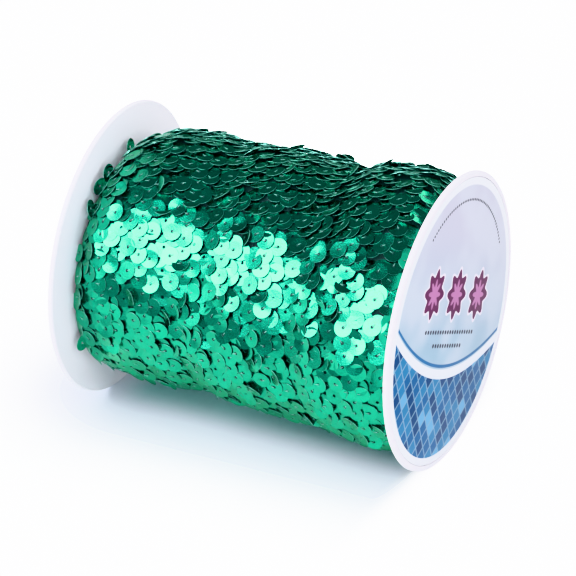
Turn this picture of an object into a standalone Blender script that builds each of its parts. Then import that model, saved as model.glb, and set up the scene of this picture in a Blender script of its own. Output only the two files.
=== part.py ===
"""A spool of stretch sequin trim: the wound trim between two moulded flanges, with a round face label.

Units are metres, +Z is up. The spool lies on the rims of its flanges with its axis along X, and the
origin is on the floor below the middle of the spool.
"""

import math

import bmesh
import bpy
from mathutils import Matrix, Vector

MM = 0.001
MERGE_DISTANCE = 0.01 * MM
SHARP_ANGLE = math.radians(35)

# Spool
SPOOL_LENGTH = 122.0 * MM
FLANGE_RADIUS = 50.0 * MM
FLANGE_THICKNESS = 1.8 * MM
FLANGE_SEGMENTS = 72
RIM_ROUNDING = 0.45 * MM
RIM_WIDTH = 1.8 * MM
FACE_RECESS = 0.7 * MM
RESTING_FLAT_HALF_WIDTH = 7.5 * MM
AXIS_HEIGHT = math.sqrt(FLANGE_RADIUS**2 - RESTING_FLAT_HALF_WIDTH**2)

# Label, a paper disc that lies in the recess of the near flange
LABEL_CLEARANCE = 0.3 * MM
LABEL_THICKNESS = 0.3 * MM
LABEL_RADIUS = FLANGE_RADIUS - RIM_WIDTH - LABEL_CLEARANCE
LABEL_SEGMENTS = 72

# Wound trim
END_CLEARANCE = 0.3 * MM
ROLL_HALF_LENGTH = SPOOL_LENGTH / 2 - FLANGE_THICKNESS - END_CLEARANCE
ROLL_SEGMENTS = 66
ROLL_RINGS = 51
RINGS_CROWDED_TO_THE_ENDS = 0.25
STRIP_WIDTH = 14.8 * MM
STRIPS_SIDE_BY_SIDE = 3
STRIP_CROWN = 0.8 * MM
LUMP_HEIGHT = 0.2 * MM
# Share of the lump height, lumps round the winding, turn along the roll, starting angle
LUMP_WAVES = [
    (1.0, 2, 5.1, 0.6),
    (0.7, 3, -7.3, 2.1),
    (0.5, 5, 9.7, 4.0),
]
SHOULDER_LENGTH = 7.0 * MM
HIGH_SIDE_ANGLE = math.radians(60)

# Place along the axis from the middle, radius on the high side, radius on the low side
ROLL_SECTIONS_MM = [
    (-59.0, 32.5, 36.5),
    (-56.0, 36.6, 39.6),
    (-51.5, 41.0, 40.8),
    (-46.0, 43.0, 41.2),
    (-36.0, 44.7, 41.6),
    (-28.0, 44.2, 41.7),
    (-21.0, 42.9, 40.6),
    (-15.0, 43.1, 40.2),
    (-9.0, 43.9, 41.7),
    (-2.0, 44.8, 42.2),
    (6.0, 45.2, 42.6),
    (11.0, 44.9, 43.0),
    (17.0, 43.5, 42.9),
    (22.0, 43.2, 42.9),
    (28.0, 45.6, 44.0),
    (34.0, 47.3, 44.7),
    (42.0, 47.5, 45.5),
    (50.0, 47.3, 45.0),
    (56.0, 44.5, 42.8),
    (59.0, 40.0, 39.5),
]

# Colours, roughness and metallic value
SEQUIN_GREEN = ((0.01, 0.42, 0.22, 1.0), 0.3, 0.8)
FLANGE_WHITE = ((0.86, 0.86, 0.88, 1.0), 0.35, 0.0)
LABEL_BLUE = ((0.62, 0.74, 0.86, 1.0), 0.5, 0.0)


def material(name, finish):
    """A Principled material from a colour, a roughness and a metallic value."""
    colour, roughness, metallic = finish
    made = bpy.data.materials.new(name)
    made.use_nodes = True
    shader = made.node_tree.nodes["Principled BSDF"]
    shader.inputs["Base Color"].default_value = colour
    shader.inputs["Roughness"].default_value = roughness
    shader.inputs["Metallic"].default_value = metallic
    return made


def finished_object(name, work, finish):
    """Turns the bmesh into an object of that name, smooth but for its sharp edges."""
    bmesh.ops.recalc_face_normals(work, faces=work.faces)
    mesh = bpy.data.meshes.new(name)
    work.to_mesh(mesh)
    work.free()
    mesh.shade_smooth()
    mesh.set_sharp_from_angle(angle=SHARP_ANGLE)
    made = bpy.data.objects.new(name, mesh)
    bpy.context.scene.collection.objects.link(made)
    made.data.materials.append(material(name + "_finish", finish))
    return made


def eased(share):
    """Goes from 0 to 1 with no corner at either end."""
    share = min(1.0, max(0.0, share))
    return share * share * (3 - 2 * share)


def section_radii(x):
    """High-side and low-side radius of the winding at a place along the axis, in metres."""
    place = x / MM
    rows = ROLL_SECTIONS_MM
    place = min(rows[-1][0], max(rows[0][0], place))
    for before, after in zip(rows, rows[1:]):
        if place <= after[0]:
            share = eased((place - before[0]) / (after[0] - before[0]))
            high = before[1] + (after[1] - before[1]) * share
            low = before[2] + (after[2] - before[2]) * share
            return high * MM, low * MM
    return rows[-1][1] * MM, rows[-1][2] * MM


def strip_relief(x, angle):
    """Each strip of trim is crowned across its width, so a groove runs where two strips meet."""
    advance = STRIPS_SIDE_BY_SIDE * STRIP_WIDTH * angle / math.tau
    across = ((x - advance) / STRIP_WIDTH) % 1.0
    edge = abs(2 * across - 1) ** 3
    return -STRIP_CROWN * edge


def lumps(x, angle):
    """Soft unevenness of a hand-filled winding."""
    place = x / ROLL_HALF_LENGTH
    wave = sum(share * math.sin(count * angle + turn * place + start)
               for share, count, turn, start in LUMP_WAVES)
    return LUMP_HEIGHT * wave


def roll_radius(x, angle):
    """Outer radius of the winding at a place along the axis and an angle about it."""
    high, low = section_radii(x)
    share = 0.5 + 0.5 * math.cos(angle - HIGH_SIDE_ANGLE)
    fade = eased((ROLL_HALF_LENGTH - abs(x)) / SHOULDER_LENGTH)
    return low + (high - low) * share + fade * (strip_relief(x, angle) + lumps(x, angle))


def about_axis(x, radius, angle):
    """A point at that radius and angle about the spool's axis; angle 0 points back, a quarter turn up."""
    return Vector((x, radius * math.cos(angle), AXIS_HEIGHT + radius * math.sin(angle)))


def wound_trim():
    """One solid for the whole winding, made ring by ring along the axis."""
    work = bmesh.new()
    crowd = RINGS_CROWDED_TO_THE_ENDS
    shares = [n / (ROLL_RINGS - 1) for n in range(ROLL_RINGS)]
    crowded = [-math.cos(math.pi * share) for share in shares]
    evenly = [2 * share - 1 for share in shares]
    places = [ROLL_HALF_LENGTH * (crowd * c + (1 - crowd) * e) for c, e in zip(crowded, evenly)]
    angles = [math.tau * n / ROLL_SEGMENTS for n in range(ROLL_SEGMENTS)]
    ring = [work.verts.new(about_axis(places[0], roll_radius(places[0], a), a)) for a in angles]
    edges = [work.edges.new((ring[n - 1], ring[n])) for n in range(ROLL_SEGMENTS)]
    work.faces.new(ring)
    for x in places[1:]:
        extruded = bmesh.ops.extrude_edge_only(work, edges=edges)["geom"]
        edges = [e for e in extruded if isinstance(e, bmesh.types.BMEdge)]
        for vert in (v for v in extruded if isinstance(v, bmesh.types.BMVert)):
            angle = math.atan2(vert.co.z - AXIS_HEIGHT, vert.co.y)
            vert.co = about_axis(x, roll_radius(x, angle), angle)
    bmesh.ops.edgeloop_fill(work, edges=edges)
    return finished_object("wound_sequin_trim", work, SEQUIN_GREEN)


def turned_disc(profile, segments, flip):
    """Spins a profile of (x, radius) points about the X axis; it begins and ends on the axis."""
    work = bmesh.new()
    side = -1 if flip else 1
    points = [work.verts.new((side * x, 0, radius)) for x, radius in profile]
    edges = [work.edges.new(pair) for pair in zip(points, points[1:])]
    bmesh.ops.spin(
        work,
        geom=points + edges,
        cent=(0, 0, 0),
        axis=(1, 0, 0),
        angle=math.tau,
        steps=segments,
        use_merge=True,
    )
    bmesh.ops.remove_doubles(work, verts=work.verts, dist=MERGE_DISTANCE)
    half_step = Matrix.Rotation(math.pi / segments, 4, "X")
    bmesh.ops.transform(work, matrix=half_step, verts=work.verts)
    bmesh.ops.translate(work, verts=work.verts, vec=(0, 0, AXIS_HEIGHT))
    return work


def flange(name, flip):
    """A moulded disc with a low rim round its outer face and a small flat where it rests."""
    inner = SPOOL_LENGTH / 2 - FLANGE_THICKNESS
    outer = SPOOL_LENGTH / 2
    profile = [
        (inner, 0),
        (inner, FLANGE_RADIUS - RIM_ROUNDING),
        (inner + RIM_ROUNDING, FLANGE_RADIUS),
        (outer - RIM_ROUNDING, FLANGE_RADIUS),
        (outer, FLANGE_RADIUS - RIM_ROUNDING),
        (outer, FLANGE_RADIUS - RIM_WIDTH),
        (outer - FACE_RECESS, FLANGE_RADIUS - RIM_WIDTH),
        (outer - FACE_RECESS, 0),
    ]
    work = turned_disc(profile, FLANGE_SEGMENTS, flip)
    everything = work.verts[:] + work.edges[:] + work.faces[:]
    cut = bmesh.ops.bisect_plane(
        work, geom=everything, plane_co=(0, 0, 0), plane_no=(0, 0, -1), clear_outer=True
    )
    rim = [e for e in cut["geom_cut"] if isinstance(e, bmesh.types.BMEdge)]
    bmesh.ops.edgeloop_fill(work, edges=rim)
    return finished_object(name, work, FLANGE_WHITE)


def face_label():
    """The paper disc, a little clear of the floor of the recess that it is stuck in."""
    inner = SPOOL_LENGTH / 2 - FACE_RECESS + LABEL_CLEARANCE
    outer = inner + LABEL_THICKNESS
    profile = [(inner, 0), (inner, LABEL_RADIUS), (outer, LABEL_RADIUS), (outer, 0)]
    work = turned_disc(profile, LABEL_SEGMENTS, flip=False)
    return finished_object("face_label", work, LABEL_BLUE)


def build():
    for old in list(bpy.data.objects):
        bpy.data.objects.remove(old)
    wound_trim()
    flange("near_flange", flip=False)
    flange("far_flange", flip=True)
    face_label()


build()
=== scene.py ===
# %% [markdown]
# ## Loading the frame
# The imported CAD model is the frame: a wound roll, two flanges and a label disc, in metres, +Z up.
# Everything below is placed in that same space, so nothing has to be fitted or moved afterwards.

# %% Load the frame
import math

import bmesh
import bpy
import numpy as np
from mathutils import Matrix, Vector
from mathutils.bvhtree import BVHTree


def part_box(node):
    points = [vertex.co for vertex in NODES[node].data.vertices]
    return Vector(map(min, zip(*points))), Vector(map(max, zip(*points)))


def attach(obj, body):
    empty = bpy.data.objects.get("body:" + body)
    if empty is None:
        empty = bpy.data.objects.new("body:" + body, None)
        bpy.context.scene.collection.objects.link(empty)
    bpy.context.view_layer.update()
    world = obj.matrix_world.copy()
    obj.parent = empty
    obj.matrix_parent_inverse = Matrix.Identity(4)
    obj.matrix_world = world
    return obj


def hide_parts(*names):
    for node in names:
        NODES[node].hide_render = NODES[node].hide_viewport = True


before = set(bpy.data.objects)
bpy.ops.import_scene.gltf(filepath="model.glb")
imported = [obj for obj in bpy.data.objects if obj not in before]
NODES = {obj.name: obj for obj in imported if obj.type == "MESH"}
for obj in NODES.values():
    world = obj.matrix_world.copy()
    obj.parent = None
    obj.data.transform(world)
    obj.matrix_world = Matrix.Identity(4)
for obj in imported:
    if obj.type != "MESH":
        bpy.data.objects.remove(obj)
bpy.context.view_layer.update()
MM = 0.001
print("nodes:", sorted(NODES))

# %% [markdown]
# ## The sizes that everything shares
# The spool lies along X. Its axis height and the flange radius come from the boxes of the CAD nodes,
# so the scene follows the solids if they ever change.

# %% Shared sizes
NEAR_LOW, NEAR_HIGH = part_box("near_flange")
FAR_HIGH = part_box("far_flange")[1]
LABEL_LOW, LABEL_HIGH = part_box("face_label")
FLANGE_RADIUS = (NEAR_HIGH[1] - NEAR_LOW[1]) / 2
AXIS_HEIGHT = NEAR_HIGH[2] - FLANGE_RADIUS
ROLL_START = FAR_HIGH[0]
ROLL_END = NEAR_LOW[0]
CENTRE = Vector((0, 0, AXIS_HEIGHT))
print("axis height mm", round(AXIS_HEIGHT / MM, 2), "flange radius mm", round(FLANGE_RADIUS / MM, 2))

# %% [markdown]
# ## The camera
# The photograph was taken with a long lens from the front right, a little above the spool. The angles,
# the distance and the lens were found by matching the ellipses of both flanges. The aim is a little
# beside the middle of the spool, so the object keeps its place in the square frame.

# %% Camera
CAMERA_AZIMUTH = math.radians(25.87)
CAMERA_ELEVATION = math.radians(28.4)
CAMERA_DISTANCE = 1290 * MM
CAMERA_AIM_RIGHT = 1.886 * MM
CAMERA_AIM_UP = -1.708 * MM
LENS_LENGTH_PIXELS = 3906
FRAME_PIXELS = 576
SENSOR_MM = 36.0


def place_camera():
    back = Vector((
        math.sin(CAMERA_AZIMUTH) * math.cos(CAMERA_ELEVATION),
        -math.cos(CAMERA_AZIMUTH) * math.cos(CAMERA_ELEVATION),
        math.sin(CAMERA_ELEVATION),
    ))
    right = Vector((math.cos(CAMERA_AZIMUTH), math.sin(CAMERA_AZIMUTH), 0))
    up = back.cross(right)
    lens = bpy.data.cameras.new("photograph camera")
    lens.sensor_width = SENSOR_MM
    lens.lens = SENSOR_MM * LENS_LENGTH_PIXELS / FRAME_PIXELS
    lens.clip_start = 0.05
    lens.clip_end = 20
    camera = bpy.data.objects.new("photograph camera", lens)
    turn = Matrix((right, up, back)).transposed().to_4x4()
    place = CENTRE + right * CAMERA_AIM_RIGHT + up * CAMERA_AIM_UP + back * CAMERA_DISTANCE
    camera.matrix_world = Matrix.Translation(place) @ turn
    bpy.context.scene.collection.objects.link(camera)
    bpy.context.scene.camera = camera
    return camera


camera = place_camera()
print("camera at", [round(c, 3) for c in camera.location], "lens mm", round(camera.data.lens, 1))

# %% [markdown]
# ## Small helpers for nodes
# Every material below is built from shader nodes. A few short helpers keep those cells readable.

# %% Node helpers
def add_node(tree, kind, settings=None, **values):
    """Adds a shader node, sets its settings, and sets its unlinked inputs by name or number."""
    node = tree.nodes.new(kind)
    for name, value in (settings or {}).items():
        setattr(node, name, value)
    for name, value in values.items():
        node.inputs[name.replace("_", " ")].default_value = value
    return node


def join(tree, output, target):
    tree.links.new(output, target)


def feed(tree, target, value):
    """Sets an input socket to a number or a colour, or joins a socket to it."""
    if isinstance(value, (int, float, tuple)):
        target.default_value = value
    else:
        join(tree, value, target)


def maths(tree, operation, *values):
    """One Math node; each of its inputs is a number or a socket."""
    node = tree.nodes.new("ShaderNodeMath")
    node.operation = operation
    for target, value in zip(node.inputs, values):
        feed(tree, target, value)
    return node.outputs[0]


def blend(tree, share, first, second):
    """One colour Mix node; share is a number or a socket, the colours are tuples or sockets."""
    node = tree.nodes.new("ShaderNodeMix")
    node.data_type = "RGBA"
    for place, value in ((0, share), (6, first), (7, second)):
        feed(tree, node.inputs[place], value)
    return node.outputs[2]


def coordinates(tree, kind="Object"):
    """Coordinates of a kind as one vector, and as its three parts."""
    place = add_node(tree, "ShaderNodeTexCoord").outputs[kind]
    parts = add_node(tree, "ShaderNodeSeparateXYZ")
    join(tree, place, parts.inputs[0])
    return place, parts.outputs


def soft_step(tree, value, edge, width):
    """0 below the edge and 1 above it, over a short width."""
    node = tree.nodes.new("ShaderNodeMapRange")
    node.interpolation_type = "SMOOTHSTEP"
    node.inputs["From Min"].default_value = edge - width / 2
    node.inputs["From Max"].default_value = edge + width / 2
    join(tree, value, node.inputs["Value"])
    return node.outputs[0]


def flat_length(tree, first, second):
    """Length of a flat vector with these two parts."""
    flat = add_node(tree, "ShaderNodeCombineXYZ")
    join(tree, first, flat.inputs[0])
    join(tree, second, flat.inputs[1])
    length = add_node(tree, "ShaderNodeVectorMath", {"operation": "LENGTH"})
    join(tree, flat.outputs[0], length.inputs[0])
    return length.outputs["Value"]


def new_material(name):
    """A material, its node tree and its Principled shader."""
    made = bpy.data.materials.new(name)
    made.use_nodes = True
    tree = made.node_tree
    return made, tree, tree.nodes["Principled BSDF"]


# %% [markdown]
# ## A shared surface effect
# Film, thread, moulded plastic and paper all show a fine grain up close. So the grain is a node group,
# built once, and each material places it with its own sizes. It gives a mask for colour or roughness,
# and a height for a bump.

# %% Shader group: fine grain
def number_socket(group, name, direction):
    group.interface.new_socket(name, in_out=direction, socket_type="NodeSocketFloat")


def build_fine_grain():
    """Grain on Object coordinates: a fine and a coarse noise, mixed, as a mask and as a height."""
    group = bpy.data.node_groups.new("fine grain", "ShaderNodeTree")
    for name in ("Grain Size mm", "Blotch Size mm", "Blotch Share"):
        number_socket(group, name, "INPUT")
    for name in ("Mask", "Height"):
        number_socket(group, name, "OUTPUT")
    inside = add_node(group, "NodeGroupInput")
    outside = add_node(group, "NodeGroupOutput")
    place = add_node(group, "ShaderNodeTexCoord")
    fine = add_node(group, "ShaderNodeTexNoise", Detail=3.0, Roughness=0.6)
    coarse = add_node(group, "ShaderNodeTexNoise", Detail=2.0, Roughness=0.5)
    for noise, size in ((fine, "Grain Size mm"), (coarse, "Blotch Size mm")):
        join(group, place.outputs["Object"], noise.inputs["Vector"])
        join(group, maths(group, "DIVIDE", 1 / MM, inside.outputs[size]), noise.inputs["Scale"])
    share = inside.outputs["Blotch Share"]
    fine_part = maths(group, "MULTIPLY", fine.outputs[0], maths(group, "SUBTRACT", 1.0, share))
    mask = maths(group, "MULTIPLY_ADD", coarse.outputs[0], share, fine_part)
    join(group, mask, outside.inputs["Mask"])
    join(group, fine.outputs[0], outside.inputs["Height"])
    return group


FINE_GRAIN = build_fine_grain()
print("shader group:", FINE_GRAIN.name)


# %% Placing the grain group
def place_grain(tree, grain_mm, blotch_mm, blotch_share):
    """Mask and height of the grain group, placed in a material with that material's own sizes."""
    node = tree.nodes.new("ShaderNodeGroup")
    node.node_tree = FINE_GRAIN
    node.inputs["Grain Size mm"].default_value = grain_mm
    node.inputs["Blotch Size mm"].default_value = blotch_mm
    node.inputs["Blotch Share"].default_value = blotch_share
    return node.outputs["Mask"], node.outputs["Height"]


def bump_from(tree, height, shader, strength, distance):
    """Joins a height to a Bump node and that to the shader's Normal."""
    bump = add_node(tree, "ShaderNodeBump", Strength=strength, Distance=distance)
    join(tree, height, bump.inputs["Height"])
    join(tree, bump.outputs[0], shader.inputs["Normal"])


# %% [markdown]
# ## The sequin film
# A sequin is punched from a metallised plastic film. Seen straight, the film is a saturated green
# mirror with a faint roughness, so it takes the brightness of whatever it faces: mint where it faces the
# softbox, near black where it faces the dark room. A thin coat adds the sheen of the plastic, and a
# speckle breaks up the green. The punched edge shows the pale core of the film, painted paler still as
# a highlight: a thin light line round each sequin. Attributes on the mesh carry what differs from one
# sequin to the next. The turn below gets a copy of the film in darker greens, painted shade for lying
# under the top turn. Where one sequin mirrors or lights another, the second is given a paler green,
# since two deep greens turn olive.

# %% Sequin film
FILM_GREEN = (0.005, 0.52, 0.280, 1.0)
FILM_GREEN_DEEP = (0.002, 0.32, 0.172, 1.0)
# The turn below is a darker copy of the film: painted shade for lying under the top turn.
LOWER_GREEN_IN_SHADE = (0.004, 0.46, 0.248, 1.0)
LOWER_DEEP_GREEN_IN_SHADE = (0.001, 0.26, 0.144, 1.0)
FILM_EDGE_TINT = (0.15, 0.75, 0.50, 1.0)
# The pale core of the cut film, made paler as a painted highlight of the light the cut edges catch.
CUT_EDGE_CORE_AND_HIGHLIGHT = (0.17, 0.50, 0.39, 1.0)
BOUNCE_COLOUR = (0.26, 0.42, 0.38, 1.0)


def sequin_film(name, light_green, deep_green):
    made, tree, shader = new_material(name)
    tint = add_node(tree, "ShaderNodeAttribute", {"attribute_name": "sequin_tint"})
    edge = add_node(tree, "ShaderNodeAttribute", {"attribute_name": "cut_edge"})
    mask, relief = place_grain(tree, 0.42, 1.6, 0.35)
    speckle = maths(tree, "MULTIPLY_ADD", mask, 1.6, -0.55)
    share = maths(tree, "MULTIPLY_ADD", tint.outputs["Fac"], 0.5, speckle)
    green = blend(tree, share, deep_green, light_green)
    # Cut walls take the pale core colour, partly a painted highlight.
    own_colour = blend(tree, edge.outputs["Fac"], green, CUT_EDGE_CORE_AND_HIGHLIGHT)
    rays = add_node(tree, "ShaderNodeLightPath").outputs
    bounced = maths(tree, "MAXIMUM", rays["Is Diffuse Ray"], rays["Is Glossy Ray"])
    colour = blend(tree, bounced, own_colour, BOUNCE_COLOUR)
    join(tree, colour, shader.inputs["Base Color"])
    join(tree, maths(tree, "MULTIPLY_ADD", edge.outputs["Fac"], -0.8, 1.0), shader.inputs["Metallic"])
    rough = maths(tree, "MULTIPLY_ADD", mask, 0.18, 0.08)
    join(tree, rough, shader.inputs["Roughness"])
    shader.inputs["Specular Tint"].default_value = FILM_EDGE_TINT
    shader.inputs["Coat Weight"].default_value = 0.6
    shader.inputs["Coat Roughness"].default_value = 0.20
    shader.inputs["Coat IOR"].default_value = 1.5
    bump_from(tree, relief, shader, 0.48, 0.0001)
    return made


TOP_FILM = sequin_film("sequin film", FILM_GREEN, FILM_GREEN_DEEP)
# Painted shade: the turn below gets the darker greens.
SHADED_LOWER_FILM = sequin_film("sequin film of the turn below, painted in shade", LOWER_GREEN_IN_SHADE, LOWER_DEEP_GREEN_IN_SHADE)
print("materials:", TOP_FILM.name, SHADED_LOWER_FILM.name)

# %% [markdown]
# ## Measuring the wound roll
# The CAD solid gives the roll's true outer form: swollen strips, soft lumps and drooping shoulders.
# Rays from the axis outwards read its radius on a regular grid, and all the small things that cover
# the roll ask that grid for their height. So they follow the solid exactly, whatever its shape.

# %% Radius of the roll
GRID_STEPS_ALONG = 98
GRID_STEPS_AROUND = 144
END_INSET = 0.45 * MM
EASING_ROUNDS = 3
GRID_START = ROLL_START + END_INSET
GRID_END = ROLL_END - END_INSET


def read_roll():
    """Radius of the CAD roll on a grid: one row for each place along X, one column for each angle."""
    tree = BVHTree.FromObject(NODES["wound_sequin_trim"], bpy.context.evaluated_depsgraph_get())
    radii = np.zeros((GRID_STEPS_ALONG + 1, GRID_STEPS_AROUND))
    for row in range(GRID_STEPS_ALONG + 1):
        x = GRID_START + (GRID_END - GRID_START) * row / GRID_STEPS_ALONG
        for column in range(GRID_STEPS_AROUND):
            angle = math.tau * column / GRID_STEPS_AROUND
            outward = Vector((0, math.cos(angle), math.sin(angle)))
            hit = tree.ray_cast(Vector((x, 0, AXIS_HEIGHT)), outward)
            radii[row, column] = hit[3]
    return radii


def eased_along(radii, rounds):
    """Softens the grid along X a little, so that single sequins don't follow the solid's facets."""
    for _ in range(rounds):
        padded = np.vstack((2 * radii[0] - radii[1], radii, 2 * radii[-1] - radii[-2]))
        radii = (padded[:-2] + 2 * padded[1:-1] + padded[2:]) / 4
    return radii


ROLL_RADII = eased_along(read_roll(), EASING_ROUNDS)
print("roll radius mm from", round(ROLL_RADII.min() / MM, 2), "to", round(ROLL_RADII.max() / MM, 2))


# %% Height of the roll anywhere
def roll_radius(x, angle):
    """Radius of the roll at arrays of places and angles, read between the grid's points."""
    row = np.clip((x - GRID_START) / (GRID_END - GRID_START), 0, 1) * GRID_STEPS_ALONG
    low = np.minimum(row.astype(int), GRID_STEPS_ALONG - 1)
    up = row - low
    column = (angle / math.tau) % 1.0 * GRID_STEPS_AROUND
    left = column.astype(int) % GRID_STEPS_AROUND
    aside = column - np.floor(column)
    right = (left + 1) % GRID_STEPS_AROUND
    before = ROLL_RADII[low, left] * (1 - aside) + ROLL_RADII[low, right] * aside
    after = ROLL_RADII[low + 1, left] * (1 - aside) + ROLL_RADII[low + 1, right] * aside
    return before * (1 - up) + after * up


def on_roll(x, angle, lift=0.0):
    """Points on the roll, one row of three numbers each; a quarter turn is the top, a half the front."""
    radius = roll_radius(x, angle) + lift
    return np.stack((x, radius * np.cos(angle), AXIS_HEIGHT + radius * np.sin(angle)), axis=-1)


crest = on_roll(np.zeros(1), np.full(1, math.pi / 2))[0]
print("crest of the roll mm", round(crest[2] / MM, 2))

# %% [markdown]
# ## The ground under the sequins
# Between the sequins a dark green stretch mesh shows, the strip that they are sewn to. It is one closed
# skin, spun round the axis and then drawn in to just below the sequins. It takes the CAD roll's place.

# %% Ground skin
GROUND_DEPTH = 2.0 * MM
GROUND_STEPS_ALONG = 110
GROUND_STEPS_AROUND = 132
SPIN_RADIUS = 30 * MM
SHARP_ANGLE = math.radians(38)


def closed_object(name, work, material):
    """Makes the bmesh an object at the origin, smooth, with its faces pointing outwards."""
    bmesh.ops.recalc_face_normals(work, faces=work.faces)
    mesh = bpy.data.meshes.new(name)
    work.to_mesh(mesh)
    work.free()
    mesh.shade_smooth()
    mesh.set_sharp_from_angle(angle=SHARP_ANGLE)
    made = bpy.data.objects.new(name, mesh)
    bpy.context.scene.collection.objects.link(made)
    mesh.materials.append(material)
    return made


def ground_skin(material):
    """Spins a straight line into a tube, closes its ends and draws it in to the roll's own form."""
    work = bmesh.new()
    pitch = (GRID_END - GRID_START) / GROUND_STEPS_ALONG
    xs = [GRID_START + pitch * n for n in range(GROUND_STEPS_ALONG + 1)]
    line = [work.verts.new((x, SPIN_RADIUS, AXIS_HEIGHT)) for x in xs]
    edges = [work.edges.new(pair) for pair in zip(line, line[1:])]
    bmesh.ops.spin(work, geom=line + edges, cent=CENTRE, axis=(1, 0, 0), angle=math.tau,
                   steps=GROUND_STEPS_AROUND, use_merge=True)
    bmesh.ops.remove_doubles(work, verts=work.verts, dist=0.02 * MM)
    rims = [e for e in work.edges if e.is_boundary]
    bmesh.ops.holes_fill(work, edges=rims, sides=0)
    xs = np.array([v.co.x for v in work.verts])
    angles = np.array([math.atan2(v.co.z - AXIS_HEIGHT, v.co.y) for v in work.verts])
    places = on_roll(xs, angles, -GROUND_DEPTH)
    for vert, place in zip(work.verts, places):
        vert.co = place
    return closed_object("winding_ground", work, material)


# %% [markdown]
# ## The ground's finish
# The stretch strip is a dark, matt knit of green thread. Two crossed waves follow the way round the roll
# and the way along it, which the angle about the axis and X give from Object coordinates.

# %% Ground material
GROUND_GREEN = (0.002, 0.050, 0.038, 1.0)
GROUND_SHADE = (0.0006, 0.018, 0.015, 1.0)
KNIT_PITCH = 0.9 * MM
MEAN_RADIUS = 43 * MM


def ground_knit():
    made, tree, shader = new_material("stretch ground")
    _, (along, back, height) = coordinates(tree)
    angle = maths(tree, "ARCTAN2", maths(tree, "SUBTRACT", height, AXIS_HEIGHT), back)
    loops_round = round(math.tau * MEAN_RADIUS / KNIT_PITCH)
    round_wave = maths(tree, "SINE", maths(tree, "MULTIPLY", angle, loops_round))
    along_wave = maths(tree, "SINE", maths(tree, "MULTIPLY", along, math.tau / KNIT_PITCH))
    knit = maths(tree, "MULTIPLY_ADD", round_wave, along_wave, 0.5)
    mask, _ = place_grain(tree, 0.3, 6.0, 0.5)
    share = maths(tree, "MULTIPLY", mask, 1.1)
    colour = blend(tree, share, GROUND_SHADE, GROUND_GREEN)
    join(tree, colour, shader.inputs["Base Color"])
    shader.inputs["Roughness"].default_value = 0.6
    bump_from(tree, knit, shader, 0.5, 0.0003)
    return made


ground = ground_skin(ground_knit())
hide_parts("wound_sequin_trim")
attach(ground, "root")
print("ground faces:", len(ground.data.polygons))

# %% [markdown]
# ## One sequin
# A flat 6 mm disc with a hole, punched from thin film. A circle is filled, its face is inset to leave
# the hole, and the ring gets its thickness. It has a few dozen faces, because thousands lie on the
# roll. The faces of the two cut walls are marked, so the finish can show the film's pale core there,
# painted paler as a highlight that the cut edges catch.

# %% Sequin template
SEQUIN_RADIUS = 3.0 * MM
SEQUIN_HOLE = 0.62 * MM
SEQUIN_THICKNESS = 0.15 * MM
SEQUIN_SEGMENTS = 18


def mesh_arrays(work):
    """Corner places and faces of a bmesh, as arrays; its faces all have as many corners."""
    work.verts.index_update()
    places = np.array([v.co[:] for v in work.verts])
    faces = np.array([[v.index for v in f.verts] for f in work.faces])
    return places, faces


def sequin_template():
    """Corner places, faces and a mark for each face on a cut wall."""
    work = bmesh.new()
    bmesh.ops.create_circle(work, cap_ends=True, radius=SEQUIN_RADIUS, segments=SEQUIN_SEGMENTS)
    disc = work.faces[:]
    bmesh.ops.inset_region(work, faces=disc, thickness=SEQUIN_RADIUS - SEQUIN_HOLE,
                           use_boundary=True, use_even_offset=True)
    bmesh.ops.delete(work, geom=disc, context="FACES_ONLY")
    bmesh.ops.solidify(work, geom=work.faces[:], thickness=SEQUIN_THICKNESS)
    bmesh.ops.recalc_face_normals(work, faces=work.faces)
    work.normal_update()
    places, faces = mesh_arrays(work)
    places[:, 2] -= places[:, 2].mean()
    walls = np.array([1.0 if abs(f.normal.z) < 0.5 else 0.0 for f in work.faces])
    work.free()
    return places, faces, walls


SEQUIN_PLACES, SEQUIN_FACES, SEQUIN_WALLS = sequin_template()
print("sequin faces:", len(SEQUIN_FACES), "walls:", int(SEQUIN_WALLS.sum()))

# %% [markdown]
# ## Where the sequins lie
# The trim is a string of sequins sewn to a stretch strip in a zigzag: left edge, middle, right edge,
# middle, and so on. Three strips are wound side by side, and each moves on by three widths in a turn,
# so the strips slant a little. One period of the zigzag is written as a table of offsets, along and
# across the strip, and repeated all along. The turn below shows through the gaps, so a second, deeper
# layer is laid the same way, half a strip aside.

# %% Zigzag of the trim
STRIP_WIDTH = 14.8 * MM
STRIPS = 3
ADVANCE = STRIP_WIDTH * STRIPS
ZIGZAG_PERIOD = 8.3 * MM
# Along the strip, to the right of its middle, and out of the roll, in mm
ZIGZAG_MM = [
    (0.0, -4.1, 0.10),
    (1.7, -0.4, 0.00),
    (2.2, 4.0, 0.04),
    (5.6, 0.3, -0.12),
]
END_MARGIN = 0.9 * MM
ALONG_JITTER = 0.30 * MM
ACROSS_JITTER = 0.30 * MM
STRIP_WANDER = 0.50 * MM


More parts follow.
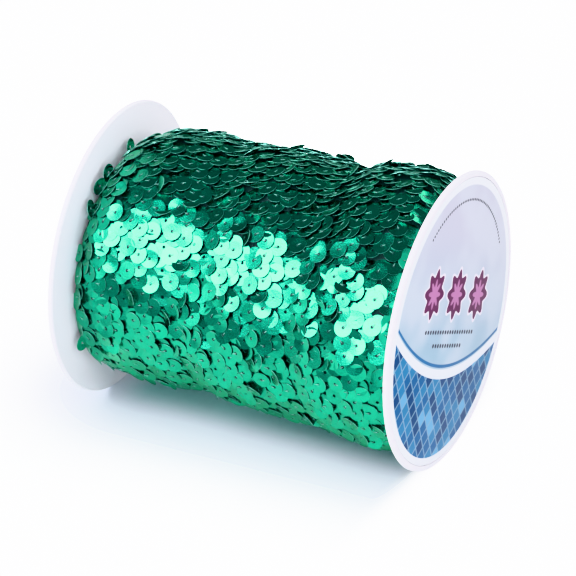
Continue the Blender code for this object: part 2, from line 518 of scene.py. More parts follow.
def strip_places(draw, strip, phase):
    """Places along X, angles, seat heights and chain directions of one strip's sequins."""
    step = ZIGZAG_PERIOD / MEAN_RADIUS
    offset = (strip + 0.5 + phase) * STRIP_WIDTH
    first_turn = math.floor((GRID_START - offset) / ADVANCE) * math.tau
    last_turn = math.ceil((GRID_END - offset) / ADVANCE) * math.tau
    periods = int((last_turn - first_turn) / step)
    table = np.array(ZIGZAG_MM) * MM
    starts = first_turn + step * np.arange(periods)
    angle = (starts[:, None] + table[:, 0] / MEAN_RADIUS).ravel()
    aside = np.tile(table[:, 1], periods)
    seat = np.tile(table[:, 2], periods)
    angle = angle + draw.normal(0, ALONG_JITTER / MEAN_RADIUS, angle.size)
    aside = aside + draw.normal(0, ACROSS_JITTER, angle.size)
    wander = STRIP_WANDER * np.sin(angle * 1.7 + strip * 2.1) * np.sin(angle * 0.63 + strip)
    x = offset + ADVANCE * angle / math.tau + wander + aside
    before = np.roll(aside, 1) - aside
    back_step = (np.roll(angle, 1) - angle) * MEAN_RADIUS
    chain = np.arctan2(before, -np.abs(back_step))
    kept = (x > GRID_START + END_MARGIN) & (x < GRID_END - END_MARGIN)
    return x[kept], angle[kept], seat[kept], chain[kept]


print("sequins in a zigzag:", len(ZIGZAG_MM))

# %% [markdown]
# ## How each sequin is held
# On its place a sequin's own axes are the way that its free edge points, the way across that, and the
# way out of the roll. Free edges point down the strip and to the right, as roof tiles do in a slanting
# row. Each sequin is tipped so that its free edge stands off the next one, then shaken by a small random
# tilt, most on the front of the roll. A few are tipped far out of line, as handling leaves them.

# %% Sequin axes
FREE_EDGE_TURN = math.radians(30)
SHINGLE_TILT = math.radians(8.8)
# For each metre along X
TILT_GAIN_TO_THE_RIGHT = math.radians(45)
TILT_SPREAD = math.radians(3.0)
FEEL_DISTANCE = 1.8 * MM
SEAT_LIFT = -0.10 * MM


def unit(vectors):
    return vectors / np.linalg.norm(vectors, axis=-1, keepdims=True)


def turned(first, second, angle):
    """Turns two arrays of perpendicular vectors in their own plane, first towards second."""
    c = np.cos(angle)[:, None]
    s = np.sin(angle)[:, None]
    return first * c + second * s, second * c - first * s


def axes_on_roll(x, angle, seat):
    """Place and three axes for each sequin: across the strip, along it, and out of the roll."""
    step = FEEL_DISTANCE / MEAN_RADIUS
    drift = ADVANCE * step / math.tau
    along = unit(on_roll(x + drift, angle + step) - on_roll(x - drift, angle - step))
    sideways = on_roll(x + FEEL_DISTANCE, angle) - on_roll(x - FEEL_DISTANCE, angle)
    out = unit(np.cross(sideways, along))
    outward = np.stack((np.zeros_like(x), np.cos(angle), np.sin(angle)), axis=-1)
    out = out * np.sign((out * outward).sum(axis=-1, keepdims=True))
    across = np.cross(along, out)
    return on_roll(x, angle, SEAT_LIFT) + out * seat[:, None], np.stack((across, along, out), axis=1)


def tipped(axes, lift, rock):
    """Points the middle axis to the free edge, lifts that edge, and rocks the sequin sideways."""
    across, along, out = axes[:, 0], axes[:, 1], axes[:, 2]
    along, back_across = turned(along, -across, np.full(len(across), FREE_EDGE_TURN))
    across = -back_across
    along, out = turned(along, out, lift)
    across, out = turned(across, out, rock)
    return np.stack((across, along, out), axis=1)


print("free edges are lifted by", round(math.degrees(SHINGLE_TILT), 1), "degrees")

# %% [markdown]
# ## Making many sequins one mesh
# The template's corners are carried to every place at once, as arrays, and joined into one mesh a
# strip. That keeps thousands of sequins in a few objects, each well under the limit on triangles.

# %% Joined meshes
# Depth of a bend or a dish, in metres for each square metre from its middle
BEND_SPREAD = 9.0
CREASED_SHARE = 0.12
CREASE_SPREAD = 34.0
DISH_DEPTH = 6.0
DISH_SPREAD = 8.0
SEQUIN_SHARP_ANGLE = math.radians(50)


def bent(places, draw, count):
    """The template once for every sequin, each bent about its own line and dished a little."""
    local = np.repeat(places[None], count, axis=0)
    bend = draw.normal(0, BEND_SPREAD, count)
    creased = draw.random(count) < CREASED_SHARE
    bend = bend + creased * draw.normal(0, CREASE_SPREAD, count)
    dish = draw.normal(DISH_DEPTH, DISH_SPREAD, count)
    way = draw.uniform(0, math.tau, count)
    line = local[..., 0] * np.cos(way)[:, None] + local[..., 1] * np.sin(way)[:, None]
    far = local[..., 0] ** 2 + local[..., 1] ** 2
    local[..., 2] += bend[:, None] * line ** 2 + dish[:, None] * far
    return local


def joined_piece(name, template, faces, places, axes, material):
    """One piece of the trim from many copies of a template, or of one template for each copy."""
    sums = "nvi,nij->nvj" if template.ndim == 3 else "vi,nij->nvj"
    corners = places[:, None] + np.einsum(sums, template, axes)
    copies, per_copy = corners.shape[:2]
    loops = (faces[None] + per_copy * np.arange(copies)[:, None, None]).reshape(-1, faces.shape[1])
    mesh = bpy.data.meshes.new(name)
    mesh.from_pydata(corners.reshape(-1, 3), [], loops)
    mesh.materials.append(material)
    made = bpy.data.objects.new(name, mesh)
    bpy.context.scene.collection.objects.link(made)
    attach(made, "root")
    return made


def sequin_piece(name, draw, places, axes, film=TOP_FILM):
    """Many sequins as one piece, each with its own bend and tint."""
    local = bent(SEQUIN_PLACES, draw, len(places))
    made = joined_piece(name, local, SEQUIN_FACES, places, axes, film)
    walls = np.tile(SEQUIN_WALLS, len(places))
    tint = np.repeat(draw.random(len(places)), len(SEQUIN_FACES))
    for attribute, values in (("cut_edge", walls), ("sequin_tint", tint)):
        made.data.attributes.new(attribute, "FLOAT", "FACE").data.foreach_set("value", values)
    made.data.shade_smooth()
    made.data.set_sharp_from_angle(angle=SEQUIN_SHARP_ANGLE)
    return made


# %% One strip of sequins
LOOSE_SHARE = 0.08
LOOSE_SPREAD = math.radians(14)
LOOSE_RISE = 0.35 * MM
LOOSEST_ANGLE = math.radians(166)
LOOSE_ANGLE_WIDTH = math.radians(24)
LOOSEST_GAIN = 1.1
LOOSE_FROM_X = -35 * MM
LOOSE_FADE = 30 * MM


def looseness(x, angle):
    """How much more the sequins are shaken: most on the front below the crest, right of the middle."""
    off_front = (angle % math.tau - LOOSEST_ANGLE) / LOOSE_ANGLE_WIDTH
    rightward = np.clip((x - LOOSE_FROM_X) / LOOSE_FADE, 0, 1)
    return 1 + LOOSEST_GAIN * np.exp(-off_front ** 2) * rightward


def lay_strip(draw, strip, phase, depth):
    """Places, tipped axes, axes before tipping, and chain directions of one strip's sequins."""
    x, angle, seat, chain = strip_places(draw, strip, phase)
    places, sewn = axes_on_roll(x, angle, seat - depth)
    count = len(x)
    loose = draw.random(count) < LOOSE_SHARE
    spread = TILT_SPREAD * looseness(x, angle)
    lift = SHINGLE_TILT + TILT_GAIN_TO_THE_RIGHT * x + draw.normal(0, 1, count) * spread
    lift = lift + loose * np.abs(draw.normal(0, LOOSE_SPREAD, count))
    rock = draw.normal(0, 1, count) * spread + loose * draw.normal(0, LOOSE_SPREAD, count)
    axes = tipped(sewn, lift, rock)
    places = places + axes[:, 2] * (loose * LOOSE_RISE)[:, None]
    return places, axes, sewn, chain


# %% Cover the roll
def cover_roll(draw):
    """Makes the top strips, one piece each, and returns what stitches and knots need."""
    laid = []
    for strip in range(STRIPS):
        laid.append(lay_strip(draw, strip, 0.0, 0.0))
        places, axes = laid[-1][:2]
        piece = sequin_piece("sequins_strip_" + "abc"[strip], draw, places, axes)
        print(piece.name, len(places), "sequins,", len(piece.data.polygons) * 2, "triangles")
    return [np.concatenate(parts) for parts in zip(*laid)]


draw = np.random.default_rng(411)
top_places, top_axes, sewn_axes, sewn_chain = cover_roll(draw)

# %% The layer below
UNDER_DEPTH = 0.60 * MM
UNDER_PHASE = 0.5


def lay_under_layer(draw):
    laid = [lay_strip(draw, strip, UNDER_PHASE, UNDER_DEPTH) for strip in range(STRIPS)]
    places, axes = [np.concatenate(parts) for parts in zip(*laid)][:2]
    # Its film is the darker copy, painted shade for the turn that lies underneath.
    return sequin_piece("sequins_under_layer", draw, places, axes, SHADED_LOWER_FILM)


piece = lay_under_layer(draw)
print(piece.name, len(piece.data.polygons) // len(SEQUIN_FACES), "sequins")

# %% [markdown]
# ## Sequins that stand at the far end
# Where the strip turns back at the far flange, a few of its edge sequins have been pushed upright. They
# stand square to the axis, half above the roll, and show as narrow dark ovals against the white flange.
# Each is listed one by one, since an even row of them would look like beads.

# %% Standing sequins
# Angle round the axis in degrees, and how far the middle stands above the roll in mm
STANDING = [
    (86, 1.6), (112, 1.2), (121, 1.5), (134, 1.0), (209, 0.9),
    (252, 0.7), (301, 1.1), (338, 1.4), (17, 1.0), (52, 1.3),
]
STANDING_X = GRID_START + 1.3 * MM
STANDING_LEAN = 0.2
STANDING_LEAN_SPREAD = 0.16
STANDING_TURN_SPREAD = 0.2


def stand_sequins():
    """Each leans a little towards the roll and is turned a little."""
    draw = np.random.default_rng(58)
    count = len(STANDING)
    angle = np.radians([row[0] for row in STANDING])
    rise = np.array([row[1] for row in STANDING]) * MM
    x = STANDING_X + draw.uniform(0, 1.0 * MM, count)
    outward = np.stack((np.zeros(count), np.cos(angle), np.sin(angle)), axis=-1)
    sideways = np.stack((np.zeros(count), -np.sin(angle), np.cos(angle)), axis=-1)
    facing = np.tile((1.0, 0.0, 0.0), (count, 1))
    facing, outward = turned(facing, outward, draw.normal(STANDING_LEAN, STANDING_LEAN_SPREAD, count))
    facing, sideways = turned(facing, sideways, draw.normal(0, STANDING_TURN_SPREAD, count))
    across = np.cross(outward, facing)
    places = on_roll(x, angle) + outward * rise[:, None]
    axes = np.stack((across, outward, facing), axis=1)
    return sequin_piece("sequins_standing", draw, places, axes)


standing = stand_sequins()
print(standing.name, len(STANDING))

# %% [markdown]
# ## The stitches
# A thread comes up through each hole and crosses the sequin's upper half, which shows as a short light
# tick on the dark side of the roll. One stitch is a circle spun through a shallow arc and closed at both
# ends. Its finish is a shiny green filament.

# %% Stitch thread
THREAD_RADIUS = 0.12 * MM
STITCH_ARC_RADIUS = 0.66 * MM
STITCH_ARC = math.radians(150)
STITCH_STEPS = 5
STITCH_SIDES = 5
STITCH_FLATTENING = 0.42
STITCH_SINK = 0.05 * MM
STITCH_SPREAD = 0.3
THREAD_GREEN = (0.04, 0.25, 0.18, 1.0)
THREAD_GREEN_PALE = (0.20, 0.50, 0.41, 1.0)


def stitch_template():
    """One arc of thread that starts at the hole, flattened and sunk a little into the film."""
    work = bmesh.new()
    ring = bmesh.ops.create_circle(work, radius=THREAD_RADIUS, segments=STITCH_SIDES)["verts"]
    bmesh.ops.translate(work, verts=ring, vec=(STITCH_ARC_RADIUS, 0, 0))
    bmesh.ops.spin(work, geom=ring + work.edges[:], cent=(0, 0, 0), axis=(0, 1, 0), angle=-STITCH_ARC,
                   steps=STITCH_STEPS, use_merge=False)
    bmesh.ops.holes_fill(work, edges=[e for e in work.edges if e.is_boundary], sides=0)
    bmesh.ops.triangulate(work, faces=[f for f in work.faces if len(f.verts) > 4])
    bmesh.ops.recalc_face_normals(work, faces=work.faces)
    bmesh.ops.triangulate(work, faces=work.faces)
    places, faces = mesh_arrays(work)
    work.free()
    places[:, 2] = places[:, 2] * STITCH_FLATTENING - STITCH_SINK
    places[:, 0] -= places[:, 0].max() - THREAD_RADIUS
    return places, faces


def thread_finish(name, dark, pale, roughness):
    """A matt green thread; gives its shader too, for a finish that goes further."""
    made, tree, shader = new_material(name)
    mask, relief = place_grain(tree, 0.2, 3.0, 0.4)
    colour = blend(tree, mask, dark, pale)
    join(tree, colour, shader.inputs["Base Color"])
    shader.inputs["Roughness"].default_value = roughness
    bump_from(tree, relief, shader, 0.3, 0.0001)
    return made, shader


def sew_stitches():
    draw = np.random.default_rng(97)
    template, faces = stitch_template()
    across, along, out = sewn_axes[:, 0], sewn_axes[:, 1], sewn_axes[:, 2]
    turn = sewn_chain + draw.normal(0, STITCH_SPREAD, len(sewn_chain))
    lengthwise = turned(along, -across, turn)[0]
    axes = np.stack((-lengthwise, -np.cross(out, lengthwise), out), axis=1)
    finish, shader = thread_finish("stitch thread", THREAD_GREEN, THREAD_GREEN_PALE, 0.25)
    shader.inputs["Coat Weight"].default_value = 1.0
    shader.inputs["Coat Roughness"].default_value = 0.18
    made = joined_piece("sequin_stitches", template, faces, top_places, axes, finish)
    made.data.shade_smooth()
    return made


stitches = sew_stitches()
print("stitches:", len(stitches.data.polygons), "triangles")

# %% [markdown]
# ## The knots
# Under its hole each sequin has a small dark knot of the sewing thread. The knot is wider than the
# hole and very dark, painted shade that makes the hole show as a dark dot even where the sequin below
# it is bright. A knot is a short flat cylinder.

# %% Knots
KNOT_RADIUS = 0.78 * MM
KNOT_THICKNESS = 0.10 * MM
KNOT_DEPTH = 0.15 * MM
KNOT_SIDES = 8
# Very dark knot colours, darker than the thread: painted shade inside each hole.
KNOT_GREEN_AS_HOLE_SHADE = (0.003, 0.055, 0.040, 1.0)
KNOT_DARK_AS_HOLE_SHADE = (0.001, 0.020, 0.014, 1.0)


def knot_template():
    work = bmesh.new()
    bmesh.ops.create_cone(work, cap_ends=True, cap_tris=True, segments=KNOT_SIDES, radius1=KNOT_RADIUS,
                          radius2=KNOT_RADIUS, depth=KNOT_THICKNESS)
    bmesh.ops.translate(work, verts=work.verts, vec=(0, 0, -KNOT_DEPTH))
    bmesh.ops.triangulate(work, faces=work.faces)
    places, faces = mesh_arrays(work)
    work.free()
    return places, faces


def tie_knots():
    template, faces = knot_template()
    # The knot's dark finish is painted shade for the hole.
    finish, shader = thread_finish("thread knot as painted hole shade", KNOT_DARK_AS_HOLE_SHADE, KNOT_GREEN_AS_HOLE_SHADE, 0.7)
    shader.inputs["Specular IOR Level"].default_value = 0.2
    return joined_piece("stitch_knots_as_hole_shade", template, faces, top_places, top_axes, finish)


knots = tie_knots()
print("knots:", len(knots.data.polygons), "triangles")

# %% [markdown]
# ## The moulded flanges
# Each flange is a thin disc with a low rim round its outer face. Its CAD solid already has that form, so
# only the finish is made here. The plastic is white with a cool cast, satin rather than glossy, with a
# faint flow texture from the mould.

# %% Flange plastic
FLANGE_WHITE = (0.885, 0.85, 0.885, 1.0)
FLANGE_SHADE = (0.85, 0.82, 0.86, 1.0)


def flange_plastic():
    made, tree, shader = new_material("moulded white plastic")
    mask, relief = place_grain(tree, 0.8, 18.0, 0.7)
    colour = blend(tree, mask, FLANGE_SHADE, FLANGE_WHITE)
    join(tree, colour, shader.inputs["Base Color"])
    rough = maths(tree, "MULTIPLY_ADD", mask, 0.15, 0.32)
    join(tree, rough, shader.inputs["Roughness"])
    bump_from(tree, relief, shader, 0.12, 0.0002)
    return made


FLANGE_PLASTIC = flange_plastic()
for node in ("near_flange", "far_flange"):
    for place in NODES[node].material_slots:
        place.material = FLANGE_PLASTIC
print("flanges:", FLANGE_PLASTIC.name)

# %% [markdown]
# ## The printed label
# A round paper label lies in the recess of the near flange. Its print is a plain pattern: a field from
# lavender to sky blue, plum rosettes, rows of small dots, and a lattice of blue diamonds below a bowed
# white band. An image could be laid on the disc, but here each part is a mask worked out from the place
# on the disc, so the print is sharp at any size. All of it is turned, as the label was stuck on.

# %% Label sizes
LABEL_RADIUS = (LABEL_HIGH[1] - LABEL_LOW[1]) / 2
LABEL_BORDER = 2.4 * MM
PRINT_TURN = math.radians(-26)
SHARP_EDGE = 0.2 * MM
DIAMOND_SIZE = 6.4 * MM
LATTICE_TOP = -19 * MM
# How far the lattice's edge rises to the sides, in metres for each square metre
LATTICE_BOW = 6.0
ROSETTE_RADIUS = 8.6 * MM
ROSETTE_PITCH = 20 * MM
ROSETTE_HEIGHT = 9 * MM
ROSETTE_PETALS = 8.0
DOT_ARC_RADIUS = 40.5 * MM
DOT_ARC_FROM_HEIGHT = 26 * MM
# Height and half length of each straight row
DOT_ROWS = [(-3.5 * MM, 22 * MM), (-8.0 * MM, 13 * MM)]
# Pitch and size of the dots
ARC_DOTS = (1.5 * MM, 0.48 * MM)
ROW_DOTS = (2.2 * MM, 0.72 * MM)
# Middle and width of each soft step
FIELD_STEP = (6 * MM, 60 * MM)
CLOUD_STEP = (0.55, 0.3)
DIAMOND_STEP = (0.06, 0.05)
print("label radius mm", round(LABEL_RADIUS / MM, 2))

# %% Label colours
PAPER_WHITE = (0.88, 0.88, 0.91, 1.0)
FIELD_TOP = (0.47, 0.46, 0.54, 1.0)
FIELD_BOTTOM = (0.26, 0.40, 0.49, 1.0)
CLOUD = (0.62, 0.64, 0.70, 1.0)
DIAMOND_BLUES = [
    (0.0, (0.006, 0.055, 0.17, 1.0)),
    (0.3, (0.010, 0.105, 0.27, 1.0)),
    (0.6, (0.025, 0.18, 0.36, 1.0)),
    (0.85, (0.12, 0.34, 0.54, 1.0)),
]
DIAMOND_EDGE = (0.20, 0.33, 0.46, 1.0)
# Height above the lattice's edge, half width, colour
LATTICE_BANDS = [
    (1.5 * MM, 1.6 * MM, (0.88, 0.89, 0.93, 1.0)),
    (4.2 * MM, 0.55 * MM, (0.03, 0.14, 0.32, 1.0)),
]
# Place inwards from the petals' edge, width of the soft edge, colour
ROSETTE_RINGS = [
    (-0.7 * MM, 0.3 * MM, (0.86, 0.80, 0.88, 1.0)),
    (0.2 * MM, 0.3 * MM, (0.13, 0.03, 0.09, 1.0)),
    (3.6 * MM, 0.4 * MM, (0.42, 0.17, 0.34, 1.0)),
]
DOT_INK = (0.045, 0.040, 0.060, 1.0)


# %% Masks for the print
def colour_steps(tree, factor, stops):
    """A colour for each range of the factor."""
    ramp = tree.nodes.new("ShaderNodeValToRGB")
    ramp.color_ramp.interpolation = "CONSTANT"
    for _ in stops[2:]:
        ramp.color_ramp.elements.new(0.5)
    for element, (position, colour) in zip(ramp.color_ramp.elements, stops):
        element.position = position
        element.color = colour
    join(tree, factor, ramp.inputs[0])
    return ramp.outputs[0]


def turned_value(tree, first, second, angle):
    """One of two coordinates after both are turned by an angle."""
    part = maths(tree, "MULTIPLY", second, math.sin(angle))
    return maths(tree, "MULTIPLY_ADD", first, math.cos(angle), part)


def middle_of_row(tree, along, pitch):
    """Distance from the middle of the nearest place in a row."""
    return maths(tree, "SUBTRACT", maths(tree, "WRAP", along, pitch, 0.0), pitch / 2)


def dot_row(tree, along, off, pitch, size):
    """A row of round dots: along and off are the distances along the row and off its line."""
    far = flat_length(tree, middle_of_row(tree, along, pitch), off)
    return maths(tree, "SUBTRACT", 1.0, soft_step(tree, far, size, SHARP_EDGE))


# %% Field and lattice
def field_picture(tree, place, height):
    """Lavender above, sky blue below, with pale cloudy spots."""
    field = blend(tree, soft_step(tree, height, *FIELD_STEP), FIELD_BOTTOM, FIELD_TOP)
    clouds = add_node(tree, "ShaderNodeTexNoise", Scale=55.0, Detail=1.0)
    join(tree, place, clouds.inputs["Vector"])
    share = maths(tree, "MULTIPLY", soft_step(tree, clouds.outputs[0], *CLOUD_STEP), 0.5)
    return blend(tree, share, field, CLOUD)


def lattice_picture(tree, side, height):
    """Diamonds of four blues, each picked by chance, with pale lines between them."""
    first = maths(tree, "DIVIDE", maths(tree, "ADD", side, height), DIAMOND_SIZE)
    second = maths(tree, "DIVIDE", maths(tree, "SUBTRACT", side, height), DIAMOND_SIZE)
    cell = add_node(tree, "ShaderNodeCombineXYZ")
    join(tree, maths(tree, "FLOOR", first), cell.inputs[0])
    join(tree, maths(tree, "FLOOR", second), cell.inputs[1])
    chance = add_node(tree, "ShaderNodeTexWhiteNoise", {"noise_dimensions": "2D"})
    join(tree, cell.outputs[0], chance.inputs["Vector"])
    blues = colour_steps(tree, chance.outputs["Value"], DIAMOND_BLUES)
    from_lines = [maths(tree, "PINGPONG", way, 0.5) for way in (first, second)]
    inner = soft_step(tree, maths(tree, "MINIMUM", *from_lines), *DIAMOND_STEP)
    return blend(tree, inner, DIAMOND_EDGE, blues)


def add_lattice(tree, side, height, picture):
    """The lattice below its bowed edge, and along that edge a white band and a thin dark line."""
    bowed = maths(tree, "MULTIPLY_ADD", maths(tree, "POWER", side, 2.0), -LATTICE_BOW, height)
    above = soft_step(tree, bowed, LATTICE_TOP, 0.3 * MM)
    picture = blend(tree, above, lattice_picture(tree, side, height), picture)
    for rise, half_width, colour in LATTICE_BANDS:
        off = maths(tree, "ABSOLUTE", maths(tree, "SUBTRACT", bowed, LATTICE_TOP + rise))
        picture = blend(tree, soft_step(tree, off, half_width, SHARP_EDGE), colour, picture)
    return picture


# %% Rosettes and dots
def add_rosettes(tree, side, height, picture):
    """Three eight-petalled rosettes: a pale outline, a plum body and a light heart."""
    shifted = maths(tree, "ADD", side, ROSETTE_PITCH / 2)
    across = middle_of_row(tree, shifted, ROSETTE_PITCH)
    up = maths(tree, "SUBTRACT", height, ROSETTE_HEIGHT)
    petal_angle = maths(tree, "MULTIPLY", maths(tree, "ARCTAN2", up, across), ROSETTE_PETALS)
    petals = maths(tree, "COSINE", petal_angle)
    reach = maths(tree, "MULTIPLY_ADD", petals, 0.14 * ROSETTE_RADIUS, 0.86 * ROSETTE_RADIUS)
    inward = maths(tree, "SUBTRACT", reach, flat_length(tree, across, up))
    in_row = maths(tree, "LESS_THAN", maths(tree, "ABSOLUTE", side), 1.5 * ROSETTE_PITCH)
    for start, fade, colour in ROSETTE_RINGS:
        share = maths(tree, "MULTIPLY", soft_step(tree, inward, start, fade), in_row)
        picture = blend(tree, share, picture, colour)
    return picture


def add_dots(tree, side, height, radius, picture):
    """Rows of small dots, one bent round the top and two straight."""
    round_way = maths(tree, "MULTIPLY", maths(tree, "ARCTAN2", height, side), DOT_ARC_RADIUS)
    off_arc = maths(tree, "SUBTRACT", radius, DOT_ARC_RADIUS)
    upper = maths(tree, "GREATER_THAN", height, DOT_ARC_FROM_HEIGHT)
    dots = maths(tree, "MULTIPLY", dot_row(tree, round_way, off_arc, *ARC_DOTS), upper)
    for row_height, half_length in DOT_ROWS:
        off_row = maths(tree, "SUBTRACT", height, row_height)
        short = maths(tree, "LESS_THAN", maths(tree, "ABSOLUTE", side), half_length)
        row = dot_row(tree, side, off_row, *ROW_DOTS)
        dots = maths(tree, "MAXIMUM", dots, maths(tree, "MULTIPLY", row, short))
    return blend(tree, dots, picture, DOT_INK)


# %% Label material
def label_paper():
    made, tree, shader = new_material("printed label paper")
    place, (_, level_side, world_height) = coordinates(tree)
    level_height = maths(tree, "SUBTRACT", world_height, AXIS_HEIGHT)
    side = turned_value(tree, level_side, level_height, PRINT_TURN)
    height = turned_value(tree, level_height, level_side, -PRINT_TURN)
    radius = flat_length(tree, side, height)
    picture = field_picture(tree, place, height)
    picture = add_lattice(tree, side, height, picture)
    picture = add_rosettes(tree, side, height, picture)
    picture = add_dots(tree, side, height, radius, picture)
    border = soft_step(tree, radius, LABEL_RADIUS - LABEL_BORDER, 0.25 * MM)
    join(tree, blend(tree, border, picture, PAPER_WHITE), shader.inputs["Base Color"])
    mask, relief = place_grain(tree, 0.25, 9.0, 0.3)
    rough = maths(tree, "MULTIPLY_ADD", mask, 0.12, 0.38)
    join(tree, rough, shader.inputs["Roughness"])
    shader.inputs["Specular IOR Level"].default_value = 0.35
    bump_from(tree, relief, shader, 0.08, 0.0001)
    return made


# %% [markdown]
# ## The label disc
# The paper is a thin disc. A circle is filled, given its thickness and a small bevel round both edges,
# then turned to face along the axis and set exactly where the CAD disc is.

# %% Label disc
LABEL_SEGMENTS = 128
LABEL_BEVEL = 0.08 * MM
LABEL_RING_ANGLE = math.radians(70)


def label_disc(material):
    work = bmesh.new()
    bmesh.ops.create_circle(work, cap_ends=True, radius=LABEL_RADIUS, segments=LABEL_SEGMENTS)
    lifted = bmesh.ops.extrude_face_region(work, geom=work.faces[:])["geom"]
    top = [v for v in lifted if isinstance(v, bmesh.types.BMVert)]
    bmesh.ops.translate(work, verts=top, vec=(0, 0, LABEL_HIGH[0] - LABEL_LOW[0]))
    rings = [e for e in work.edges if e.calc_face_angle(0) > LABEL_RING_ANGLE]
    bmesh.ops.bevel(work, geom=rings, offset=LABEL_BEVEL, affect="EDGES", segments=2,
                    profile=0.5, material=-1)
    to_the_side = Matrix.Rotation(math.pi / 2, 3, "Y")
    bmesh.ops.rotate(work, verts=work.verts, cent=(0, 0, 0), matrix=to_the_side)
    bmesh.ops.translate(work, verts=work.verts, vec=(LABEL_LOW[0], 0, AXIS_HEIGHT))
    return closed_object("label_disc", work, material)


label = label_disc(label_paper())
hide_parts("face_label")
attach(label, "root")
print("label from", [round(c / MM, 2) for c in LABEL_LOW])

# %% [markdown]
# ## The floor
# A plain pale floor stands in for the photographer's white sweep. Close to the spool a painted shadow
# darkens it, green where the two touch and bluish farther out, for the shade and the green cast that
# the trim throws there. A hand's width away it glows for the camera, as white as an overexposed
# backdrop. Mirror reflections see it darker than the camera does, as the film of the sequins needs,
# with a painted green shadow close to the spool and painted shade far off.

# %% Floor sizes and colours
FLOOR_HALF = 4.0
FLOOR_WHITE = (0.86, 0.86, 0.87, 1.0)
# Painted shadow: a cool cast farther out, and a green one where the spool touches the floor.
FLOOR_PAINTED_SHADOW = (0.63, 0.70, 0.80, 1.0)
CONTACT_PAINTED_SHADOW = (0.32, 0.60, 0.60, 1.0)
FLOOR_IN_MIRRORS = (0.72, 0.72, 0.72, 1.0)
# In mirrors: painted shade far off, and a painted green shadow close to the spool.
FAR_FLOOR_PAINTED_SHADE_IN_MIRRORS = (0.16, 0.16, 0.17, 1.0)
MIRRORED_PAINTED_SHADOW = (0.20, 0.52, 0.44, 1.0)
# Middle and width of each soft step, as distances from the spool
CONTACT_SHADOW_STEP = (8 * MM, 16 * MM)
FLOOR_SHADOW_STEP = (25 * MM, 50 * MM)
MIRRORED_PAINTED_SHADOW_STEP = (25 * MM, 40 * MM)
FAR_SHADE_STEP_IN_MIRRORS = (200 * MM, 200 * MM)
GLOW_STEP = (50 * MM, 60 * MM)
GLOW_STRENGTH = 10.0
FOOTPRINT_LEFT = -45 * MM
FOOTPRINT_RIGHT = 50 * MM
FOOTPRINT_HALF_WIDTH = 4 * MM
STEEPNESS_ON_THE_RIGHT = 6.0


# %% Floor material
def footprint_distance(tree):
    """Distance on the floor from the rectangle that the spool stands over, steeper on the lit right."""
    _, (along, back, _) = coordinates(tree)
    left = maths(tree, "SUBTRACT", FOOTPRINT_LEFT, along)
    past_right = maths(tree, "SUBTRACT", along, FOOTPRINT_RIGHT)
    right = maths(tree, "MULTIPLY", past_right, STEEPNESS_ON_THE_RIGHT)
    front = maths(tree, "SUBTRACT", maths(tree, "ABSOLUTE", back), FOOTPRINT_HALF_WIDTH)
    beyond = maths(tree, "MAXIMUM", maths(tree, "MAXIMUM", left, right), 0.0)
    return flat_length(tree, beyond, maths(tree, "MAXIMUM", front, 0.0))


def floor_material():
    made, tree, shader = new_material("pale sweep")
    distance = footprint_distance(tree)
    rays = add_node(tree, "ShaderNodeLightPath").outputs
    # Painted shadow for the camera: green at the contact, cool farther out, white beyond.
    cast = blend(tree, soft_step(tree, distance, *CONTACT_SHADOW_STEP), CONTACT_PAINTED_SHADOW, FLOOR_PAINTED_SHADOW)
    pale = blend(tree, soft_step(tree, distance, *FLOOR_SHADOW_STEP), cast, FLOOR_WHITE)
    # Mirrors see painted shade far off and a painted green shadow near the spool.
    far = soft_step(tree, distance, *FAR_SHADE_STEP_IN_MIRRORS)
    outer = blend(tree, far, FLOOR_IN_MIRRORS, FAR_FLOOR_PAINTED_SHADE_IN_MIRRORS)
    near = soft_step(tree, distance, *MIRRORED_PAINTED_SHADOW_STEP)
    mirrored = blend(tree, near, MIRRORED_PAINTED_SHADOW, outer)
    colour = blend(tree, rays["Is Glossy Ray"], pale, mirrored)
    join(tree, colour, shader.inputs["Base Color"])
    shader.inputs["Roughness"].default_value = 0.75
    shader.inputs["Specular IOR Level"].default_value = 0.2
    outside = soft_step(tree, distance, *GLOW_STEP)
    glow = maths(tree, "MULTIPLY", maths(tree, "MULTIPLY", outside, outside), GLOW_STRENGTH)
    shader.inputs["Emission Color"].default_value = (1.0, 1.0, 1.0, 1.0)
    join(tree, maths(tree, "MULTIPLY", rays["Is Camera Ray"], glow), shader.inputs["Emission Strength"])
    return made


# %% Lay the floor
def lay_floor():
    work = bmesh.new()
    bmesh.ops.create_grid(work, x_segments=8, y_segments=8, size=FLOOR_HALF)
    mesh = bpy.data.meshes.new("floor")
    work.to_mesh(mesh)
    work.free()
    made = bpy.data.objects.new("floor", mesh)
    mesh.materials.append(floor_material())
    bpy.context.scene.collection.objects.link(made)
    return made


floor = lay_floor()
print("floor size m", FLOOR_HALF * 2)

# %% [markdown]
# ## Light
# One wide softbox stands in front of the spool and above it. The light that falls on the surfaces and
# the one that mirrors show are two, as they need different strengths, and stand at different distances,
# since lights in one place hide each other. In the mirrors the box has a hot middle, so the sequins show
# pale mint where they mirror that, green for the rest of the box or the white floor, and dark for the
# room. A low card on the left lights the shoulder, and two weaker panels light the other views. The
# world gives the soft fill, and stays dark for mirror reflections.

# %% Softboxes
WHITE_LIGHT = (1.0, 1.0, 1.0)
COOL_LIGHT = (0.92, 1.0, 1.16)
PALE_CYAN_LIGHT = (0.93, 1.0, 1.0)
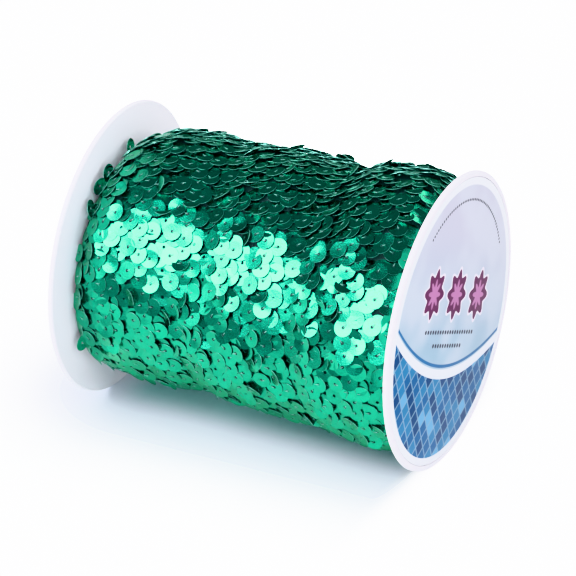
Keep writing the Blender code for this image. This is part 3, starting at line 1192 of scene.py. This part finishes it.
# Name, direction from the spool, distance, width, height, radiance, the rays that see it, colour
SOFTBOXES = [
    ("key softbox", (-0.26, -0.64, 0.72), 0.98, 1.9, 0.72, 4.6, "surface", WHITE_LIGHT),
    ("key softbox in mirrors", (-0.30, -0.735, 0.61), 0.94, 1.9, 0.96, 1.3, "mirror", COOL_LIGHT),
    ("left card in mirrors", (-0.87, -0.46, 0.174), 0.94, 0.61, 0.30, 1.0, "mirror", WHITE_LIGHT),
    ("its hot middle in mirrors", (-0.24, -0.720, 0.651), 0.90, 1.2, 0.50, 12.5, "mirror", COOL_LIGHT),
    ("side panel", (1.0, -0.12, 0.45), 1.1, 0.8, 0.7, 0.8, "both", PALE_CYAN_LIGHT),
    ("back panel", (0.55, 0.80, 0.50), 1.1, 0.9, 0.5, 3.5, "both", WHITE_LIGHT),
]


def softbox(name, direction, distance, width, height, radiance, rays, colour):
    """A rectangular light that faces the spool, with its long side level."""
    lamp = bpy.data.lights.new(name, "AREA")
    lamp.color = colour
    lamp.shape = "RECTANGLE"
    lamp.size = width
    lamp.size_y = height
    lamp.energy = radiance * math.pi * width * height
    made = bpy.data.objects.new(name, lamp)
    towards = Vector(direction).normalized()
    made.location = CENTRE + towards * distance
    made.rotation_euler = towards.to_track_quat("Z", "Y").to_euler()
    made.visible_diffuse = rays != "mirror"
    made.visible_glossy = rays != "surface"
    bpy.context.scene.collection.objects.link(made)
    return made


lights = [softbox(*row) for row in SOFTBOXES]
print("lights:", [light.name for light in lights])

# %% World
SKY_FILL = (1.02, 1.04, 1.12, 1.0)
ROOM_DARK = (0.11, 0.13, 0.15, 1.0)
ROOM_LOW = (0.20, 0.22, 0.25, 1.0)
BACKDROP_WHITE = (8.0, 8.0, 8.0, 1.0)
# Middle and width, as the height of a direction: 0 at the horizon and 1 straight up
ROOM_STEP = (0.12, 0.25)


def light_world():
    world = bpy.data.worlds.new("studio")
    bpy.context.scene.world = world
    world.use_nodes = True
    tree = world.node_tree
    rays = add_node(tree, "ShaderNodeLightPath").outputs
    height = coordinates(tree, "Generated")[1][2]
    room = blend(tree, soft_step(tree, height, *ROOM_STEP), ROOM_LOW, ROOM_DARK)
    unseen = blend(tree, rays["Is Glossy Ray"], SKY_FILL, room)
    seen = blend(tree, rays["Is Camera Ray"], unseen, BACKDROP_WHITE)
    join(tree, seen, tree.nodes["Background"].inputs[0])


light_world()
bpy.context.scene.view_settings.view_transform = "Khronos PBR Neutral"
print("view transform:", bpy.context.scene.view_settings.view_transform)
